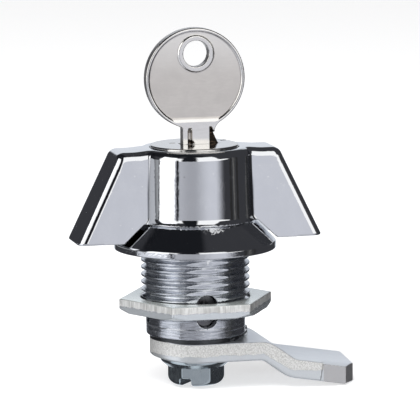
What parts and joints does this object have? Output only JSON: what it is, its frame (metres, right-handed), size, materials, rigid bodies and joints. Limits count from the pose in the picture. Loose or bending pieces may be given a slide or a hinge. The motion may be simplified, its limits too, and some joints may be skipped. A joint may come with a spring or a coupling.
{
  "type": "swing handle lock",
  "caption": "Key-locked wing handle on a threaded, flanged barrel with a clamping nut; turning the handle swings a cranked cam behind the panel.",
  "frame": {"origin": "on the turning axis, in the plane of the flange's underside where the panel lies", "axes": "+Z along the turning axis towards the key, +X along the wings and the cam at rest"},
  "size_m": [0.058, 0.0328, 0.073],
  "materials": {
    "chrome_casting": "polished chromium plate on zinc die-casting",
    "zinc_steel": "pale zinc plate on stamped steel",
    "dark_zinc_steel": "dark zinc plate on sheet steel",
    "blue_zinc_steel": "blue zinc plate",
    "plug_nickel": "polished nickel plate",
    "key_nickel": "satin nickel plate on brass",
    "wafer_brass": "plain stamped",
    "spring_steel": "drawn wire",
    "pin_steel": "ground"
  },
  "bodies": {
    "housing": {"housing": "chrome_casting"},
    "panel_nut": {"panel_nut": "zinc_steel"},
    "handle": {"wing_handle": "chrome_casting", "stop_washer": "dark_zinc_steel", "cam": "zinc_steel", "dish_washer": "blue_zinc_steel", "cam_screw": "blue_zinc_steel"},
    "plug": {"lock_plug": "plug_nickel", "wafer_1": "wafer_brass", "wafer_2": "wafer_brass", "wafer_3": "wafer_brass", "wafer_4": "wafer_brass", "wafer_5": "wafer_brass", "plug_retainer": "wafer_brass", "retainer_spring": "spring_steel", "drive_pin": "pin_steel", "wafer_spring_1": "spring_steel", "wafer_spring_2": "spring_steel", "wafer_spring_3": "spring_steel", "wafer_spring_4": "spring_steel", "wafer_spring_5": "spring_steel"},
    "bolt": {"locking_bolt": "pin_steel"},
    "key": {"key": "key_nickel"}
  },
  "joints": [
    {"name": "handle_turn", "type": "hinge", "parent": "housing", "child": "handle", "pos_m": [0, 0, 0], "axis": [0, 0, 1], "range_deg": [0, 90]},
    {"name": "plug_turn", "type": "hinge", "parent": "handle", "child": "plug", "pos_m": [0, 0, 0.02], "axis": [0, 0, 1], "range_deg": [0, 90]},
    {"name": "key_draw", "type": "slide", "parent": "plug", "child": "key", "axis": [0, 0, 1], "range_m": [0, 0.026]},
    {"name": "bolt_throw", "type": "slide", "parent": "handle", "child": "bolt", "axis": [0, -1, 0], "range_m": [0, 0.00213]},
    {"name": "nut_run", "type": "slide", "parent": "housing", "child": "panel_nut", "axis": [0, 0, 1], "range_m": [0, 0.0088]}
  ],
  "couplings": [
    {"joint": "bolt_throw", "follows": "plug_turn", "m_per_rad": 0.0013505}
  ]
}
